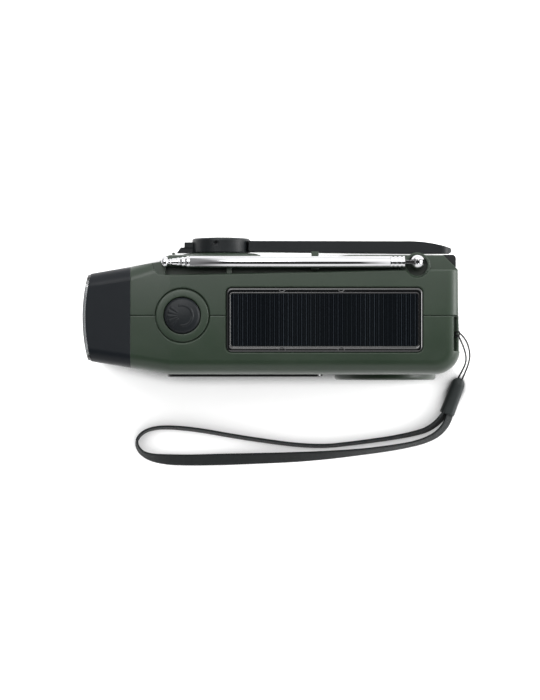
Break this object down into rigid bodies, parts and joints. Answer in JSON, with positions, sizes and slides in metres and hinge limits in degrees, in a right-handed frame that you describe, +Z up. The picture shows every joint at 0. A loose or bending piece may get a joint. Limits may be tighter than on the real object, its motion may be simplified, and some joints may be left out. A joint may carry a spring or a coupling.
{
  "type": "emergency radio",
  "caption": "Hand-crank radio in a long rounded case with a lamp head at one end, solar panel and folding antenna on top, crank on the back and a wrist strap.",
  "frame": {"origin": "bottom centre of the radio's bounding box, leaving out the wrist strap", "axes": "+X from the lamp head towards the strap end, +Y from the dial towards the crank, +Z up from the feet"},
  "size_m": [0.1663, 0.0976, 0.0764],
  "materials": {
    "green_plastic": "fine satin texture",
    "head_plastic": "fine satin texture",
    "black_plastic": "satin",
    "gloss_black": "gloss",
    "lens_clear": "clear",
    "panel_clear": "clear gloss",
    "reflector_chrome": "bright",
    "antenna_chrome": "polished",
    "steel": "plain",
    "led_yellow": "gloss",
    "board_green": "solder resist",
    "board_white": "solder resist",
    "cell_blue": "dark silicon",
    "rubber_black": "matte",
    "button_rubber": "satin",
    "white_nylon": "plain",
    "brass": "plain",
    "paper_black": "matte",
    "scale_white": "printed",
    "red_plastic": "gloss",
    "ferrite": "matte",
    "cell_wrap": "shrink sleeve",
    "strap_nylon": "woven",
    "cord_nylon": "braided"
  },
  "bodies": {
    "case": {"front_shell": "green_plastic", "rear_shell": "green_plastic", "lamp_bezel": "head_plastic", "lamp_lens": "lens_clear", "lamp_reflector": "reflector_chrome", "lamp_board": "board_white", "lamp_leds": "led_yellow", "switch_ring": "green_plastic", "lamp_switch": "black_plastic", "solar_frame": "gloss_black", "solar_cell": "cell_blue", "solar_cover": "panel_clear", "crank_bush": "brass", "gear_frame": "steel", "generator": "steel", "dial_panel": "gloss_black", "dial_window": "panel_clear", "dial_scale": "scale_white", "panel_switches": "black_plastic", "charge_light": "red_plastic", "speaker_grille": "black_plastic", "speaker_frame": "steel", "speaker_cone": "paper_black", "wheel_controls": "black_plastic", "main_board": "board_green", "board_parts": "black_plastic", "ferrite_antenna": "ferrite", "battery_cells": "cell_wrap", "battery_tray": "black_plastic", "sockets": "steel", "feet": "rubber_black", "case_screws": "steel", "strap_cord_a": "cord_nylon", "strap_cord_b": "cord_nylon", "strap_hitch": "cord_nylon", "strap_clasp": "black_plastic", "strap_webbing": "strap_nylon"},
    "lamp_button": {"lamp_button": "button_rubber"},
    "antenna_turret": {"antenna_turret": "antenna_chrome"},
    "antenna_mast": {"antenna_joint": "antenna_chrome", "antenna_tube": "antenna_chrome"},
    "antenna_1": {"antenna_section_1": "antenna_chrome"},
    "antenna_2": {"antenna_section_2": "antenna_chrome"},
    "antenna_3": {"antenna_section_3": "antenna_chrome"},
    "crank": {"crank_hub": "black_plastic", "crank_arm": "black_plastic", "crank_set_screw": "steel", "crank_shaft": "steel", "crank_gear": "white_nylon"},
    "grip": {"crank_grip": "black_plastic"},
    "idler": {"idler_gear": "white_nylon"},
    "rotor": {"generator_rotor": "brass"},
    "tuning": {"tuning_wheel": "black_plastic"},
    "pointer": {"dial_pointer": "red_plastic"},
    "volume": {"volume_wheel": "black_plastic"},
    "band": {"band_knob": "black_plastic"},
    "power": {"power_knob": "black_plastic"},
    "sos": {"sos_button": "red_plastic"},
    "cover": {"port_cover": "rubber_black"},
    "door": {"battery_door": "green_plastic"}
  },
  "joints": [
    {"name": "lamp_button_press", "type": "slide", "parent": "case", "child": "lamp_button", "axis": [0, 0, -1], "range_m": [0, 0.001], "stiffness_N_per_m": 400, "springref_m": -0.001},
    {"name": "antenna_swivel", "type": "hinge", "parent": "case", "child": "antenna_turret", "pos_m": [0.0618, 0.0191, 0.068], "axis": [0, 0, 1], "range_deg": [-180, 0]},
    {"name": "antenna_tilt", "type": "hinge", "parent": "antenna_turret", "child": "antenna_mast", "pos_m": [0.0618, 0.0191, 0.0736], "axis": [0, 1, 0], "range_deg": [0, 90]},
    {"name": "antenna_slide_1", "type": "slide", "parent": "antenna_mast", "child": "antenna_1", "axis": [-1, 0, 0], "range_m": [0, 0.072]},
    {"name": "antenna_slide_2", "type": "slide", "parent": "antenna_1", "child": "antenna_2", "axis": [-1, 0, 0], "range_m": [0, 0.072]},
    {"name": "antenna_slide_3", "type": "slide", "parent": "antenna_2", "child": "antenna_3", "axis": [-1, 0, 0], "range_m": [0, 0.072]},
    {"name": "crank_spin", "type": "hinge", "parent": "case", "child": "crank", "pos_m": [-0.021, 0.0245, 0.042], "axis": [0, 1, 0], "continuous": true},
    {"name": "crank_grip_fold", "type": "hinge", "parent": "crank", "child": "grip", "pos_m": [0.069, 0.0267, 0.042], "axis": [0, 0, -1], "range_deg": [0, 90]},
    {"name": "idler_spin", "type": "hinge", "parent": "case", "child": "idler", "pos_m": [0, 0.012, 0.042], "axis": [0, 1, 0], "continuous": true},
    {"name": "rotor_spin", "type": "hinge", "parent": "case", "child": "rotor", "pos_m": [0.0144, 0.01, 0.042], "axis": [0, 1, 0], "continuous": true},
    {"name": "tuning_spin", "type": "hinge", "parent": "case", "child": "tuning", "pos_m": [0.0719, -0.0033, 0.046], "axis": [0, 1, 0], "range_deg": [-150, 150]},
    {"name": "dial_slide", "type": "slide", "parent": "case", "child": "pointer", "axis": [1, 0, 0], "range_m": [-0.022, 0.022]},
    {"name": "volume_spin", "type": "hinge", "parent": "case", "child": "volume", "pos_m": [0.0719, -0.0033, 0.022], "axis": [0, 1, 0], "range_deg": [-150, 150]},
    {"name": "band_slide", "type": "slide", "parent": "case", "child": "band", "axis": [1, 0, 0], "range_m": [0, 0.0062]},
    {"name": "power_slide", "type": "slide", "parent": "case", "child": "power", "axis": [1, 0, 0], "range_m": [0, 0.0062]},
    {"name": "sos_press", "type": "slide", "parent": "case", "child": "sos", "axis": [0, 1, 0], "range_m": [0, 0.0008], "stiffness_N_per_m": 400, "springref_m": -0.001},
    {"name": "port_cover_pull", "type": "slide", "parent": "case", "child": "cover", "axis": [1, 0, 0], "range_m": [0, 0.006]},
    {"name": "battery_door_open", "type": "hinge", "parent": "case", "child": "door", "pos_m": [0.056, 0.0213, 0.0063], "axis": [-1, 0, 0], "range_deg": [0, 90]}
  ],
  "couplings": [
    {"joint": "idler_spin", "follows": "crank_spin", "ratio": -4},
    {"joint": "rotor_spin", "follows": "crank_spin", "ratio": 12},
    {"joint": "dial_slide", "follows": "tuning_spin", "m_per_rad": 0.0084}
  ]
}
